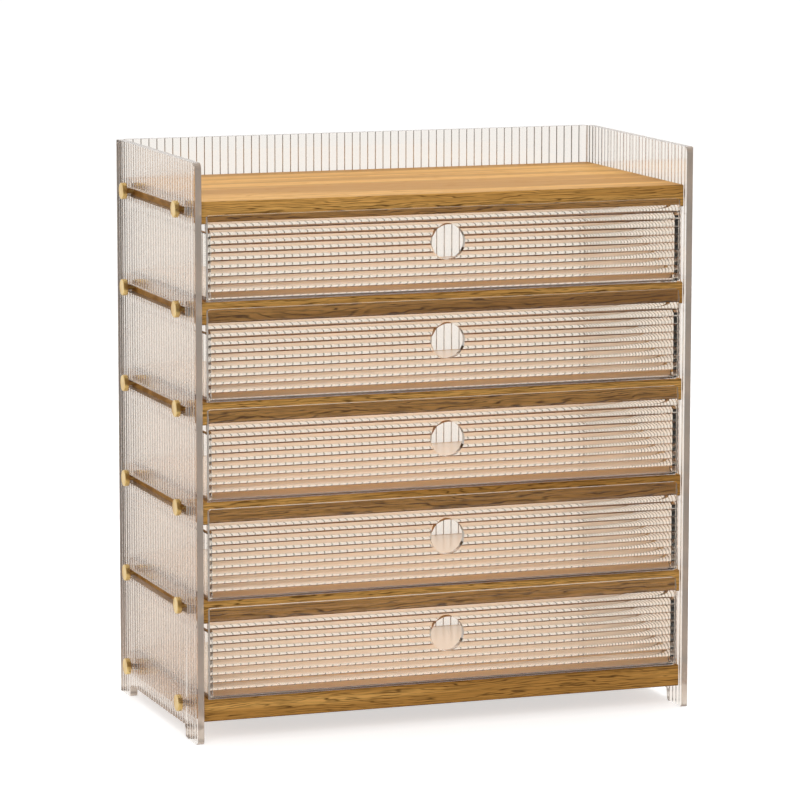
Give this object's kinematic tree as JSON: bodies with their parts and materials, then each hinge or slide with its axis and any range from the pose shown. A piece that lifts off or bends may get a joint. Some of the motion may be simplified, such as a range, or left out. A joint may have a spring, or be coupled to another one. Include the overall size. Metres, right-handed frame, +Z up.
{
  "type": "tabletop organizer with drawers",
  "caption": "Tabletop vanity organizer: fluted clear acrylic sides, back and drawers between oak shelves, with a raised gallery around the top shelf and brass cap screws.",
  "frame": {"origin": "on the ground under the centre of the bounding box, back screw heads included", "axes": "+Z up, drawers open towards -Y, +X to the right seen from the front"},
  "size_m": [0.3664, 0.1892, 0.3935],
  "materials": {
    "clear_acrylic": "clear polished acrylic, fluted on one face, faint warm tint",
    "oak": "oiled oak, grain along the width",
    "brass": "polished brass cap screws"
  },
  "bodies": {
    "frame": {"left_side_panel": "clear_acrylic", "right_side_panel": "clear_acrylic", "back_panel": "clear_acrylic", "top_shelf": "oak", "shelf_2": "oak", "shelf_3": "oak", "shelf_4": "oak", "shelf_5": "oak", "bottom_shelf": "oak", "top_shelf_screws": "brass", "shelf_2_screws": "brass", "shelf_3_screws": "brass", "shelf_4_screws": "brass", "shelf_5_screws": "brass", "bottom_shelf_screws": "brass", "top_shelf_back_screws": "brass", "bottom_shelf_back_screws": "brass"},
    "drawer_1": {"drawer_1_front": "clear_acrylic", "drawer_1_left_wall": "clear_acrylic", "drawer_1_right_wall": "clear_acrylic", "drawer_1_back_wall": "clear_acrylic", "drawer_1_floor": "clear_acrylic"},
    "drawer_2": {"drawer_2_front": "clear_acrylic", "drawer_2_left_wall": "clear_acrylic", "drawer_2_right_wall": "clear_acrylic", "drawer_2_back_wall": "clear_acrylic", "drawer_2_floor": "clear_acrylic"},
    "drawer_3": {"drawer_3_front": "clear_acrylic", "drawer_3_left_wall": "clear_acrylic", "drawer_3_right_wall": "clear_acrylic", "drawer_3_back_wall": "clear_acrylic", "drawer_3_floor": "clear_acrylic"},
    "drawer_4": {"drawer_4_front": "clear_acrylic", "drawer_4_left_wall": "clear_acrylic", "drawer_4_right_wall": "clear_acrylic", "drawer_4_back_wall": "clear_acrylic", "drawer_4_floor": "clear_acrylic"},
    "drawer_5": {"drawer_5_front": "clear_acrylic", "drawer_5_left_wall": "clear_acrylic", "drawer_5_right_wall": "clear_acrylic", "drawer_5_back_wall": "clear_acrylic", "drawer_5_floor": "clear_acrylic"}
  },
  "joints": [
    {"name": "drawer_1_slide", "type": "slide", "parent": "frame", "child": "drawer_1", "axis": [0, -1, 0], "range_m": [0, 0.135]},
    {"name": "drawer_2_slide", "type": "slide", "parent": "frame", "child": "drawer_2", "axis": [0, -1, 0], "range_m": [0, 0.135]},
    {"name": "drawer_3_slide", "type": "slide", "parent": "frame", "child": "drawer_3", "axis": [0, -1, 0], "range_m": [0, 0.135]},
    {"name": "drawer_4_slide", "type": "slide", "parent": "frame", "child": "drawer_4", "axis": [0, -1, 0], "range_m": [0, 0.135]},
    {"name": "drawer_5_slide", "type": "slide", "parent": "frame", "child": "drawer_5", "axis": [0, -1, 0], "range_m": [0, 0.135]}
  ]
}
